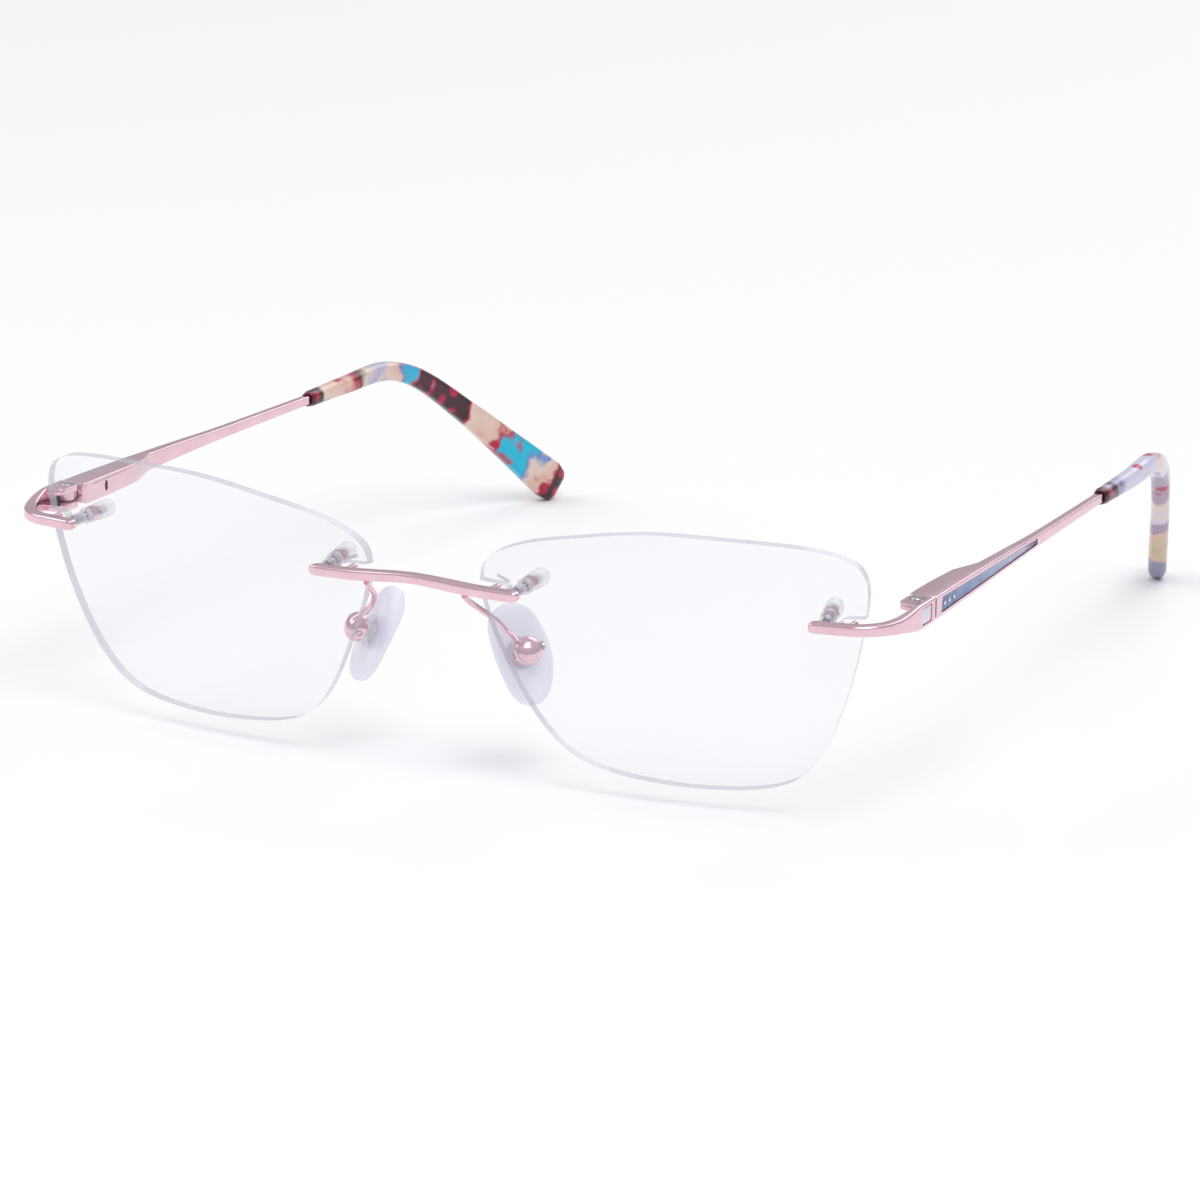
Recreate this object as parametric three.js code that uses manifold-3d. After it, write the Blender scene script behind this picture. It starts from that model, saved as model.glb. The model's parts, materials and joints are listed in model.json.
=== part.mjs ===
// Rimless eyeglasses in millimetres, +Z up. The front faces -Y, the temples run back along +Y,
// and +X is the wearer's left. One side is built and then mirrored across the middle plane.
// Heights are first taken from the middle of the lens bars; the whole object is moved at the
// end so that it stands on Z = 0, centred in X and Y.

import * as THREE from "three";
import { mergeVertices } from "three/addons/utils/BufferGeometryUtils.js";
import Module from "manifold-3d";

const wasm = await Module();
wasm.setup();

// Lens: a bowl-shaped clear disc of one thickness, wrapped and tilted.
const LENS_RADIUS = 86.8;
const LENS_THICKNESS = 1.7;
const LENS_WRAP = THREE.MathUtils.degToRad(7.1);
const LENS_TILT = THREE.MathUtils.degToRad(6.1);
const LENS_CENTRE = new THREE.Vector3(37.1, -3.7, -0.8);
const LENS_RINGS = 3;
const LENS_SIDES = 64;
// Outline in the lens plane: across (towards the temple) and up.
const LENS_OUTLINE = [
  [25.7, 5.0], [24.2, 8.3], [18.7, 10.3], [8, 11.2], [-3, 11.2], [-13, 9.6],
  [-22.5, 7.0], [-27.6, 3.5], [-27.9, -1.6], [-24.2, -11.2], [-19.6, -19.3], [-14.6, -23.5],
  [-6, -25.2], [6, -25.3], [14.2, -23.7], [18.6, -19.6], [22.2, -11.7], [24.8, -2.2],
];

// Mounts: a threaded stud from the bar through the lens, with a sleeve, a nut and a cap behind.
const MOUNTS = {
  nasal: { x: 14.3, y: -4.35, turn: -3, peg: -3.4, notch: [5, 12.2] },
  temporal: { x: 57.2, y: 0.3, turn: 12.5, peg: 3.2, notch: [59.4, 65] },
};
const MOUNT_LIFT = 4;
const STUD = { radius: 0.55, length: 7.2, flange: 0.6, flangeLength: 0.3, start: 0.1 };
const HOLE_RADIUS = 0.8;
const NOTCH_HEIGHT = 1.5;
const PEG_RADIUS = 0.45;
const SLEEVE = { from: 3.15, to: 3.85, inner: 0.72, outer: 1.15 };
const NUT = { from: 4.0, to: 5.15, inner: 0.7, outer: 1.15 };
const CAP = { from: 5.6, to: 8.9, inner: 0.7, outer: 1.28, bore: 2.0 };

// Bars.
const BAR_TALL = 1.4;
const BAR_DEEP = 1.8;
const BAR_SPOT = { x: 56.5, y: -0.75 };
const BAR_SLOPE = 0.17;
const BRIDGE_END = 15.7;
const BRIDGE_Y = -5.35;
const BRIDGE_ARCH = 0.7;

// Hinge: two ears on the endpiece, the knuckle between them, and the screw through all three.
const HINGE = new THREE.Vector3(65.1, 12.6, 0.05);
const EAR_RADIUS = 1.5;
const EAR_INNER = 0.75;
const EAR_OUTER = 1.65;
const KNUCKLE_RADIUS = 1.0;
const KNUCKLE_TALL = 1.2;
const TONGUE_WIDE = 1.2;
const TONGUE_END = 18.2;
const SCREW_RADIUS = 0.45;
const SCREW_HOLE = 0.53;
const SCREW_HEAD = 0.9;
const BLOCK_X = 66.68;
const BLOCK_WIDE = 0.95;
const BLOCK_TALL = 3.36;
const BLOCK_END = 14.0;
const PANEL = { from: 9.6, to: 12.9, tall: 2.4, deep: 0.4, gap: 0.1 };

// Temple: outer face straight, leaning in towards the tip; housing hollow at the front.
const TEMPLE_FRONT = 14.35;
const TEMPLE_END = 81;
const TEMPLE_OUTER = 67.15;
const TEMPLE_LEAN = THREE.MathUtils.degToRad(1.75);
const HOUSING_END = 28.5;
const CHANNEL = 1.4;
const NECK = { from: 21.3, to: 22, wide: 0.9 };
const CHAMBER_END = 29.2;
const ROD = { radius: 0.3, end: 28.5, head: 0.58, headLength: 0.4 };
const SPRING = { from: 22.8, to: 28.0, radius: 0.48, wire: 0.1, turns: 7 };
const INLAY = { from: 1.9, to: 39, tall: 2.1, tip: [-0.85, 0], thick: 0.22, deep: 0.45, gap: 0.1 };
const STONE = { radius: 0.28, first: 3.1, step: 1.7, count: 3 };
const ACCESS_HOLE = { y: 19.9, wide: 0.4, long: 0.8 };

// Temple tip: mottled sleeve that drops behind the ear and flares to a paddle.
const TIP_PATH = [
  [64.5, 80.8, -0.75], [64.3, 93, -0.9], [63.6, 104, -1.1], [62.0, 112, -3.8],
  [59.0, 121.5, -10.6], [55.3, 131.5, -19], [51.9, 140.6, -26.9],
];
const TIP_CORE = 0.8;
const TIP_CORE_GAP = 0.15;
const TIP_CORE_REACH = 0.8;

// Nose pad group: the box is the middle, with its outward axis along local +X.
const PAD_BOX = new THREE.Vector3(13.1, 2.5, -9.8);
const PAD_TURN = { z: -48, y: -22, x: 15 };
const PAD_OFFSET = -3.2;
const PAD_THICK = 2.2;
const PAD_CORE = { radius: 2.1, thick: 0.8, gap: 0.25 };
const PAD_OUTLINE = [
  [-3.5, 3.4], [-2.6, 6.0], [0, 7.1], [2.9, 5.6], [4.0, 1.5],
  [3.6, -2.6], [1.6, -6.3], [-1.0, -7.2], [-3.0, -5.6], [-3.7, -1.2],
];
const ARM_WIRE = 0.8;
const ARM_PATH = [
  [7.4, -4.9, -1.0], [7.5, -3.6, -2.1], [8.1, -1.4, -3.7],
  [9.5, 0.5, -5.6], [11.0, 1.1, -7.2], [12.5, 0.7, -8.3],
];

const materials = {
  rose: new THREE.MeshStandardMaterial({ color: 0xd9a9b8, roughness: 0.25, metalness: 1 }),
  steel: new THREE.MeshStandardMaterial({ color: 0xb9b7bd, roughness: 0.3, metalness: 1 }),
  clear: new THREE.MeshStandardMaterial({ color: 0xe9eaf0, roughness: 0.05, metalness: 0 }),
  silicone: new THREE.MeshStandardMaterial({ color: 0xe2dff0, roughness: 0.35, metalness: 0 }),
  enamel: new THREE.MeshStandardMaterial({ color: 0x6e87b4, roughness: 0.3, metalness: 0 }),
  pearl: new THREE.MeshStandardMaterial({ color: 0xd8cfe0, roughness: 0.25, metalness: 0 }),
  stone: new THREE.MeshStandardMaterial({ color: 0xf2dfe2, roughness: 0.1, metalness: 0 }),
  acetate: new THREE.MeshStandardMaterial({ color: 0x6b3344, roughness: 0.25, metalness: 0 }),
};

// ---- geometry helpers

// One closed surface with shared vertices, with its faces pointing out.
function closed(geometry) {
  const bare = geometry.clone();
  bare.deleteAttribute("normal");
  bare.deleteAttribute("uv");
  const merged = mergeVertices(bare, 1e-4);
  const kept = [];
  const index = merged.index.array;
  for (let i = 0; i < index.length; i += 3) {
    const [a, b, c] = [index[i], index[i + 1], index[i + 2]];
    if (a !== b && b !== c && c !== a) {
      kept.push(a, b, c);
    }
  }
  merged.setIndex(kept);
  if (signedVolume(merged) < 0) {
    kept.reverse();
    merged.setIndex(kept);
  }
  return merged;
}

function signedVolume(geometry) {
  const corners = [new THREE.Vector3(), new THREE.Vector3(), new THREE.Vector3()];
  let total = 0;
  for (let i = 0; i < geometry.index.count; i += 3) {
    corners.forEach((corner, k) => {
      corner.fromBufferAttribute(geometry.attributes.position, geometry.index.getX(i + k));
    });
    total += corners[0].dot(corners[1].clone().cross(corners[2])) / 6;
  }
  return total;
}

function toSolid(geometry) {
  const shape = closed(geometry);
  return new wasm.Manifold(new wasm.Mesh({
    numProp: 3,
    vertProperties: new Float32Array(shape.attributes.position.array),
    triVerts: new Uint32Array(shape.index.array),
  }));
}

function toGeometry(solid) {
  const mesh = solid.getMesh();
  const geometry = new THREE.BufferGeometry();
  geometry.setAttribute("position", new THREE.BufferAttribute(mesh.vertProperties, 3));
  geometry.setIndex(new THREE.BufferAttribute(mesh.triVerts, 1));
  return geometry;
}

// Joins the first list of shapes and cuts the second list away.
function carved(joined, cut = []) {
  let solid = toSolid(joined[0]);
  joined.slice(1).forEach((geometry) => {
    solid = solid.add(toSolid(geometry));
  });
  cut.forEach((geometry) => {
    solid = solid.subtract(toSolid(geometry));
  });
  return toGeometry(solid);
}

function box(x, y, z) {
  const geometry = new THREE.BoxGeometry(x[1] - x[0], y[1] - y[0], z[1] - z[0]);
  return geometry.translate((x[0] + x[1]) / 2, (y[0] + y[1]) / 2, (z[0] + z[1]) / 2);
}

// A cylinder along Y from one value of y to another.
function rod(radius, from, to, sides = 16) {
  const geometry = new THREE.CylinderGeometry(radius, radius, to - from, sides);
  return geometry.translate(0, (from + to) / 2, 0);
}

// A cylinder along Z.
function post(radius, from, to, sides = 24) {
  return rod(radius, from, to, sides).rotateX(Math.PI / 2);
}

// A ring along Y with a round hole.
function ring(inner, outer, from, to, sides = 16) {
  const corners = [[inner, from], [outer, from], [outer, to], [inner, to], [inner, from]];
  return new THREE.LatheGeometry(corners.map(([r, y]) => new THREE.Vector2(r, y)), sides);
}

// An oblong one unit wide and tall with cut corners.
function cutCornerSection(cut) {
  const near = 0.5 - cut;
  const corners = [
    [near, -0.5], [0.5, -near], [0.5, near], [near, 0.5],
    [-near, 0.5], [-0.5, near], [-0.5, -near], [-near, -0.5],
  ];
  return new THREE.Shape(corners.map(([x, y]) => new THREE.Vector2(x, y)));
}

function roundSection() {
  const shape = new THREE.Shape();
  shape.absarc(0, 0, 0.5, 0, 2 * Math.PI);
  return shape;
}

// A bar through stations of { at, wide, tall }. Each section stands square to the path, or
// square to one direction where it is given.
function lofted(section, stations, { direction = null, up = new THREE.Vector3(0, 0, 1) } = {}) {
  const steps = stations.length - 1;
  const geometry = new THREE.ExtrudeGeometry(section, {
    depth: 1, steps, bevelEnabled: false, curveSegments: 5,
  });
  const frames = stations.map((station, i) => {
    const before = stations[Math.max(i - 1, 0)].at;
    const after = stations[Math.min(i + 1, steps)].at;
    const along = direction ?? after.clone().sub(before).normalize();
    const side = along.clone().cross(up).normalize();
    return { side, rise: side.clone().cross(along).normalize() };
  });
  const position = geometry.attributes.position;
  for (let i = 0; i < position.count; i += 1) {
    const k = Math.round(position.getZ(i) * steps);
    const point = stations[k].at.clone();
    point.addScaledVector(frames[k].side, position.getX(i) * stations[k].wide);
    point.addScaledVector(frames[k].rise, position.getY(i) * stations[k].tall);
    position.setXYZ(i, point.x, point.y, point.z);
  }
  return geometry;
}

function station(x, y, z, wide, tall) {
  return { at: new THREE.Vector3(x, y, z), wide, tall };
}

function vectors(points) {
  return points.map((point) => new THREE.Vector3(...point));
}

// Straight-line value between the nearest two of a list of [t, value].
function between(table, t) {
  const next = Math.max(1, table.findIndex(([at]) => at >= t));
  const [t0, v0] = table[next - 1];
  const [t1, v1] = table[next];
  return THREE.MathUtils.mapLinear(t, t0, t1, v0, v1);
}

// ---- lens

function lensPoint(across, up, depth) {
  const sag = LENS_RADIUS - Math.sqrt(LENS_RADIUS ** 2 - across ** 2 - up ** 2);
  const point = new THREE.Vector3(across, sag + depth, up);
  point.applyAxisAngle(new THREE.Vector3(1, 0, 0), LENS_TILT);
  point.applyAxisAngle(new THREE.Vector3(0, 0, 1), LENS_WRAP);
  return point.add(LENS_CENTRE);
}

function makeLens() {
  const outline = new THREE.CatmullRomCurve3(
    LENS_OUTLINE.map(([across, up]) => new THREE.Vector3(across, up, 0)), true, "centripetal",
  ).getSpacedPoints(LENS_SIDES);
  const middle = new THREE.Vector3(0, -6, 0);
  const profile = [];
  for (let ringIndex = 0; ringIndex <= LENS_RINGS; ringIndex += 1) {
    profile.push(new THREE.Vector2(ringIndex / LENS_RINGS, 0));
  }
  for (let ringIndex = LENS_RINGS; ringIndex >= 0; ringIndex -= 1) {
    profile.push(new THREE.Vector2(ringIndex / LENS_RINGS, LENS_THICKNESS));
  }
  const disc = new THREE.LatheGeometry(profile, LENS_SIDES);
  const position = disc.attributes.position;
  for (let i = 0; i < position.count; i += 1) {
    const angle = Math.atan2(position.getX(i), position.getZ(i));
    const reach = Math.hypot(position.getX(i), position.getZ(i));
    const turn = (angle / (2 * Math.PI) + 1) % 1;
    const edge = outline[Math.round(turn * LENS_SIDES) % LENS_SIDES];
    const spot = middle.clone().lerp(edge, Math.min(reach, 1));
    const point = lensPoint(spot.x, spot.y, position.getY(i));
    position.setXYZ(i, point.x, point.y, point.z);
  }
  const cuts = Object.values(MOUNTS).flatMap((mount) => [
    rod(HOLE_RADIUS, -2, 8).applyMatrix4(mountMatrix(mount)),
    box(mount.notch, [-8, 8], [-NOTCH_HEIGHT / 2, NOTCH_HEIGHT / 2]),
  ]);
  return carved([disc], cuts);
}

// ---- lens mounts

function mountMatrix(mount) {
  const turn = new THREE.Euler(
    THREE.MathUtils.degToRad(MOUNT_LIFT), 0, THREE.MathUtils.degToRad(mount.turn), "ZYX",
  );
  const matrix = new THREE.Matrix4().makeRotationFromEuler(turn);
  return matrix.setPosition(mount.x, mount.y, 0);
}

function makeStud() {
  const shaft = rod(STUD.radius, STUD.start, STUD.length);
  const flange = rod(STUD.flange, STUD.start, STUD.start + STUD.flangeLength);
  return carved([shaft, flange]);
}

function makeNut() {
  const hexagon = rod(NUT.outer, NUT.from, NUT.to, 6);
  return carved([hexagon], [rod(NUT.inner, NUT.from - 1, NUT.to + 1)]);
}

function makeCap() {
  const round = CAP.outer;
  const profile = [
    [0, CAP.from + CAP.bore], [CAP.inner, CAP.from + CAP.bore], [CAP.inner, CAP.from],
    [round * 0.93, CAP.from], [round, CAP.from + 0.3], [round, CAP.to - 1.5],
    [round * 0.87, CAP.to - 0.7], [round * 0.55, CAP.to - 0.2], [0, CAP.to],
  ];
  return new THREE.LatheGeometry(profile.map(([r, y]) => new THREE.Vector2(r, y)), 16);
}

// ---- bars

// The small peg on the back of a bar that stands in the lens notch and stops it turning.
function notchPeg(mount, reach) {
  return rod(PEG_RADIUS, -0.4, reach, 10).translate(mount.x + mount.peg, mount.y, 0);
}

function makeBridge() {
  const half = [
    station(BRIDGE_END, BRIDGE_Y + 0.05, 0, 0.9, 0.7),
    station(BRIDGE_END - 0.3, BRIDGE_Y + 0.03, 0, 1.5, 1.15),
    station(BRIDGE_END - 0.9, BRIDGE_Y, 0, BAR_DEEP, BAR_TALL),
    station(9.5, BRIDGE_Y, 0.05, BAR_DEEP, BAR_TALL),
    station(6.5, BRIDGE_Y - 0.1, 0.25, BAR_DEEP, BAR_TALL),
    station(3.2, BRIDGE_Y - 0.25, BRIDGE_ARCH * 0.8, BAR_DEEP, BAR_TALL * 0.95),
    station(0, BRIDGE_Y - 0.3, BRIDGE_ARCH, BAR_DEEP, BAR_TALL * 0.92),
  ];
  const mirrored = half.slice(0, -1).reverse().map(({ at, wide, tall }) => (
    station(-at.x, at.y, at.z, wide, tall)
  ));
  const bar = lofted(cutCornerSection(0.2), [...half, ...mirrored]);
  const peg = notchPeg(MOUNTS.nasal, 2.8);
  return carved([bar, peg, peg.clone().scale(-1, 1, 1)]);
}

function earShape() {
  const shape = new THREE.Shape();
  shape.moveTo(BLOCK_X, HINGE.y - 3.7);
  shape.lineTo(BLOCK_X, BLOCK_END - 0.2);
  shape.absarc(HINGE.x, HINGE.y, EAR_RADIUS, 1, Math.PI);
  shape.lineTo(HINGE.x - EAR_RADIUS, HINGE.y - 1.6);
  shape.quadraticCurveTo(HINGE.x - EAR_RADIUS, HINGE.y - 3.2, HINGE.x, HINGE.y - 3.4);
  return shape;
}

function ear(low, high) {
  const plate = new THREE.ExtrudeGeometry(earShape(), {
    depth: high - low, bevelEnabled: false, curveSegments: 10,
  });
  return plate.translate(0, 0, HINGE.z + low);
}

function makeEndpiece() {
  const path = [
    ...[[55.6, 0.9, 0.7], [55.9, 1.5, 1.15], [56.5, BAR_DEEP, BAR_TALL], [60, BAR_DEEP, BAR_TALL],
      [61.5, BAR_DEEP, BAR_TALL]].map(([x, wide, tall]) => (
      station(x, BAR_SPOT.y + (x - BAR_SPOT.x) * BAR_SLOPE, 0.05, wide, tall))),
    station(63.3, 0.95, 0.05, BAR_DEEP, BAR_TALL),
    station(64.8, 2.4, 0.05, 1.75, 1.5),
    station(65.8, 4.4, 0.05, 1.6, 1.8),
    station(66.35, 6.5, 0.05, 1.35, 2.4),
    station(66.6, 8.2, HINGE.z, 1.1, 3.0),
    station(BLOCK_X, 9.3, HINGE.z, BLOCK_WIDE, BLOCK_TALL),
    station(BLOCK_X, BLOCK_END, HINGE.z, BLOCK_WIDE, BLOCK_TALL),
  ];
  const arm = lofted(cutCornerSection(0.18), path);
  const outerFace = BLOCK_X + BLOCK_WIDE / 2;
  const half = PANEL.tall / 2;
  const pocket = box(
    [outerFace - PANEL.deep, outerFace + 1],
    [PANEL.from, PANEL.to],
    [HINGE.z - half, HINGE.z + half],
  );
  const screwHole = post(SCREW_HOLE, -3, 3).translate(HINGE.x, HINGE.y, HINGE.z);
  const headRecess = post(SCREW_HEAD + 0.12, EAR_OUTER - 0.35, 3)
    .translate(HINGE.x, HINGE.y, HINGE.z);
  const ears = [ear(EAR_INNER, EAR_OUTER), ear(-EAR_OUTER, -EAR_INNER)];
  const peg = notchPeg(MOUNTS.temporal, 3.0);
  return carved([arm, ...ears, peg], [pocket, screwHole, headRecess]);
}

function makePanel() {
  const outerFace = BLOCK_X + BLOCK_WIDE / 2;
  const half = PANEL.tall / 2 - PANEL.gap;
  return box(
    [outerFace - PANEL.deep + PANEL.gap, outerFace - 0.02],
    [PANEL.from + PANEL.gap, PANEL.to - PANEL.gap],
    [HINGE.z - half, HINGE.z + half],
  );
}

// ---- hinge

function makeHingeScrew() {
  const shaft = post(SCREW_RADIUS, -EAR_OUTER, EAR_OUTER - 0.1);
  const head = post(SCREW_HEAD, EAR_OUTER - 0.25, EAR_OUTER + 0.1);
  const slot = box([-2, 2], [-0.12, 0.12], [EAR_OUTER - 0.08, EAR_OUTER + 1]);
  return carved([shaft, head], [slot]).translate(HINGE.x, HINGE.y, HINGE.z);
}

function makeKnuckle() {
  const half = KNUCKLE_TALL / 2;
  const eye = post(KNUCKLE_RADIUS, -half, half);
  const tongue = box(
    [-TONGUE_WIDE / 2, TONGUE_WIDE / 2], [0, TONGUE_END - HINGE.y], [-half, half],
  );
  const hole = post(SCREW_HOLE, -2, 2);
  return carved([eye, tongue], [hole]).translate(HINGE.x, HINGE.y, HINGE.z);
}

function makeGuideRod() {
  const shaft = rod(ROD.radius, TONGUE_END + 0.1, ROD.end);
  const head = rod(ROD.head, ROD.end - ROD.headLength, ROD.end);
  return carved([shaft, head]).translate(HINGE.x, 0, HINGE.z);
}

class Helix extends THREE.Curve {
  getPoint(t, target = new THREE.Vector3()) {
    const angle = t * SPRING.turns * 2 * Math.PI;
    const along = THREE.MathUtils.lerp(SPRING.from + SPRING.wire, SPRING.to - SPRING.wire, t);
    return target.set(SPRING.radius * Math.cos(angle), along, SPRING.radius * Math.sin(angle));
  }
}

function makeSpring() {
  const wire = new THREE.Shape();
  wire.absarc(0, 0, SPRING.wire, 0, 2 * Math.PI);
  const coil = new THREE.ExtrudeGeometry(wire, {
    steps: SPRING.turns * 10, extrudePath: new Helix(), curveSegments: 2,
  });
  return closed(coil).translate(HINGE.x, 0, HINGE.z);
}

// ---- temple

function outerFaceAt(y) {
  return TEMPLE_OUTER - (y - TEMPLE_FRONT) * Math.tan(TEMPLE_LEAN);
}

// A section of the temple between its outer face and its inner face.
function templeStation(y, wide, tall, z) {
  return station(outerFaceAt(y) - wide / 2, y, z, wide, tall);
}

// Moves a shape drawn with the temple's front outer edge at the origin onto the leaning face.
function ontoOuterFace(geometry) {
  return geometry.rotateZ(TEMPLE_LEAN).translate(TEMPLE_OUTER, TEMPLE_FRONT, HINGE.z);
}

// The wedge of the inlay, drawn in the outer face: along, up; it narrows towards the back.
function inlayPlate(low, high, shrink) {
  const half = INLAY.tall / 2 - shrink;
  const shape = new THREE.Shape();
  shape.moveTo(INLAY.from + shrink, -half);
  shape.lineTo(INLAY.from + shrink + 0.4, half);
  shape.lineTo(INLAY.to - shrink, INLAY.tip[1] - shrink);
  shape.lineTo(INLAY.to - shrink, INLAY.tip[0] + shrink);
  const plate = new THREE.ExtrudeGeometry(shape, { depth: high - low, bevelEnabled: false });
  const basis = new THREE.Matrix4().makeBasis(
    new THREE.Vector3(0, 1, 0), new THREE.Vector3(0, 0, 1), new THREE.Vector3(1, 0, 0),
  );
  return ontoOuterFace(plate.applyMatrix4(basis).translate(low, 0, 0));
}

function makeTemple() {
  const body = lofted(cutCornerSection(0.1), [
    templeStation(TEMPLE_FRONT, 3.7, 2.8, HINGE.z),
    templeStation(TEMPLE_FRONT + 0.4, 4.0, 3.05, HINGE.z),
    templeStation(HOUSING_END - 7, 3.85, 3.0, 0),
    templeStation(HOUSING_END, 3.5, 2.8, -0.05),
    templeStation(HOUSING_END + 6.5, 1.75, 2.5, -0.1),
    templeStation(44, 1.5, 2.1, -0.2),
    templeStation(54, 1.35, 1.65, -0.38),
    templeStation(TEMPLE_END - 0.6, 1.25, 1.3, -0.75),
  ], { direction: new THREE.Vector3(0, 1, 0) });
  const core = lofted(cutCornerSection(0.2), tipStations(TIP_CORE, -0.04, TIP_CORE_REACH));
  const half = CHANNEL / 2;
  const around = (r) => [[HINGE.x - r, HINGE.x + r], [HINGE.z - r, HINGE.z + r]];
  const [channelX, channelZ] = around(half);
  const [neckX, neckZ] = around(NECK.wide / 2);
  const access = rod(ACCESS_HOLE.wide, -3, 0, 12).rotateZ(Math.PI / 2)
    .scale(-1, ACCESS_HOLE.long / ACCESS_HOLE.wide, 1)
    .translate(HINGE.x - 3, ACCESS_HOLE.y, HINGE.z);
  return carved([body, core], [
    box(channelX, [TEMPLE_FRONT - 1, NECK.from], channelZ),
    box(neckX, [NECK.from - 0.5, NECK.to + 0.5], neckZ),
    box(channelX, [NECK.to, CHAMBER_END], channelZ),
    access,
    inlayPlate(-INLAY.deep, 1, 0),
  ]);
}

function makeStone(index) {
  const dome = new THREE.SphereGeometry(STONE.radius, 10, 6).scale(0.7, 1, 1);
  const sit = -INLAY.deep + INLAY.gap + INLAY.thick + 0.05 + STONE.radius * 0.7;
  return ontoOuterFace(dome.translate(sit, STONE.first + index * STONE.step, 0));
}

const tipCurve = new THREE.CatmullRomCurve3(vectors(TIP_PATH), false, "centripetal");

// Stations of a plain square wire along the tip's path.
function tipStations(size, from, to) {
  const count = 12;
  return Array.from({ length: count + 1 }, (_, i) => {
    const t = (i / count) * to;
    const at = tipCurve.getPointAt(t);
    if (i === 0) {
      at.addScaledVector(tipCurve.getTangentAt(0), from * tipCurve.getLength());
    }
    return { at, wide: size, tall: size };
  });
}

function makeTip() {
  const talls = [
    [0, 2.4], [0.3, 2.9], [0.5, 3.2], [0.64, 3.7], [0.8, 4.9], [0.97, 6.3], [0.99, 5.8], [1, 4.3],
  ];
  const wides = [[0, 2.3], [0.3, 2.7], [0.97, 2.9], [0.99, 2.4], [1, 1.4]];
  const places = [0, 0.1, 0.2, 0.3, 0.36, 0.42, 0.48, 0.54, 0.64, 0.8, 0.9, 0.97, 0.99, 1];
  const sleeve = lofted(cutCornerSection(0.22), places.map((t) => (
    { at: tipCurve.getPointAt(t), wide: between(wides, t), tall: between(talls, t) }
  )));
  const bore = lofted(
    cutCornerSection(0.1),
    tipStations(TIP_CORE + 2 * TIP_CORE_GAP, -0.02, TIP_CORE_REACH + 0.01),
  );
  return carved([sleeve], [bore]);
}

// ---- nose pads, drawn with the box centre at the origin and outward along +X

const sideways = new THREE.Matrix4().makeBasis(
  new THREE.Vector3(0, 1, 0), new THREE.Vector3(0, 0, 1), new THREE.Vector3(1, 0, 0),
);

function makePadBox() {
  const profile = [
    [0, 1.5], [1.0, 1.35], [1.7, 0.8], [2.0, 0.1], [2.0, -0.9], [1.6, -0.9], [1.6, 0.5], [0, 0.8],
  ];
  const cup = new THREE.LatheGeometry(profile.map(([r, y]) => new THREE.Vector2(r, y)), 20)
    .rotateZ(-Math.PI / 2);
  return carved([cup], [rod(0.42, -3, 3, 12)]);
}

function makePadScrew() {
  return carved([rod(0.32, -1.95, 2.2, 12), rod(0.6, 2.1, 2.5, 12)]);
}

function makePadCore() {
  const disc = rod(PAD_CORE.radius, -PAD_CORE.thick / 2, PAD_CORE.thick / 2, 20)
    .rotateZ(-Math.PI / 2).translate(PAD_OFFSET, 0, 0);
  const shank = box([PAD_OFFSET, 0.35], [-0.7, 0.7], [-0.8, 0.8]);
  return carved([disc, shank], [rod(0.42, -3, 3, 12)]);
}

function makeNosePad() {
  const outline = new THREE.CatmullRomCurve3(
    PAD_OUTLINE.map(([x, y]) => new THREE.Vector3(x, y, 0)), true, "centripetal",
  ).getPoints(30);
  const shape = new THREE.Shape(outline.slice(0, -1).map(({ x, y }) => new THREE.Vector2(x, y)));
  const bevel = 0.6;
  const pad = new THREE.ExtrudeGeometry(shape, {
    depth: PAD_THICK - 2 * bevel, bevelThickness: bevel, bevelSize: bevel, bevelOffset: -bevel,
    bevelSegments: 2,
  }).translate(0, 0, bevel - PAD_THICK / 2).applyMatrix4(sideways).translate(PAD_OFFSET, 0, 0);
  const pocketRadius = PAD_CORE.radius + PAD_CORE.gap;
  const pocket = rod(pocketRadius, -PAD_CORE.thick / 2 - PAD_CORE.gap, 3, 20).rotateZ(-Math.PI / 2)
    .translate(PAD_OFFSET, 0, 0);
  return carved([pad], [pocket]);
}

function makePadArm() {
  const curve = new THREE.CatmullRomCurve3(vectors(ARM_PATH), false, "centripetal");
  const stations = curve.getPoints(14).map((at) => ({ at, wide: ARM_WIRE, tall: ARM_WIRE }));
  return lofted(roundSection(), stations, { up: new THREE.Vector3(1, 0, 0) });
}

// ---- assembly

function piece(name, geometry, material) {
  const mesh = new THREE.Mesh(closed(geometry), material);
  mesh.name = name;
  return mesh;
}

function makeMount(place, mount, side) {
  const group = new THREE.Group();
  group.applyMatrix4(mountMatrix(mount));
  const label = `${place}_${side}`;
  group.add(piece(`stud_${label}`, makeStud(), materials.steel));
  group.add(piece(`sleeve_${label}`, ring(SLEEVE.inner, SLEEVE.outer, SLEEVE.from, SLEEVE.to),
    materials.clear));
  group.add(piece(`nut_${label}`, makeNut(), materials.rose));
  group.add(piece(`end_cap_${label}`, makeCap(), materials.clear));
  return group;
}

function makePadGroup(side) {
  const group = new THREE.Group();
  const turn = [PAD_TURN.x, PAD_TURN.y, PAD_TURN.z].map(THREE.MathUtils.degToRad);
  group.rotation.set(...turn, "ZYX");
  group.position.copy(PAD_BOX);
  group.add(piece(`pad_box_${side}`, makePadBox(), materials.rose));
  group.add(piece(`pad_screw_${side}`, makePadScrew(), materials.steel));
  group.add(piece(`pad_core_${side}`, makePadCore(), materials.clear));
  group.add(piece(`nose_pad_${side}`, makeNosePad(), materials.silicone));
  return group;
}

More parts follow.
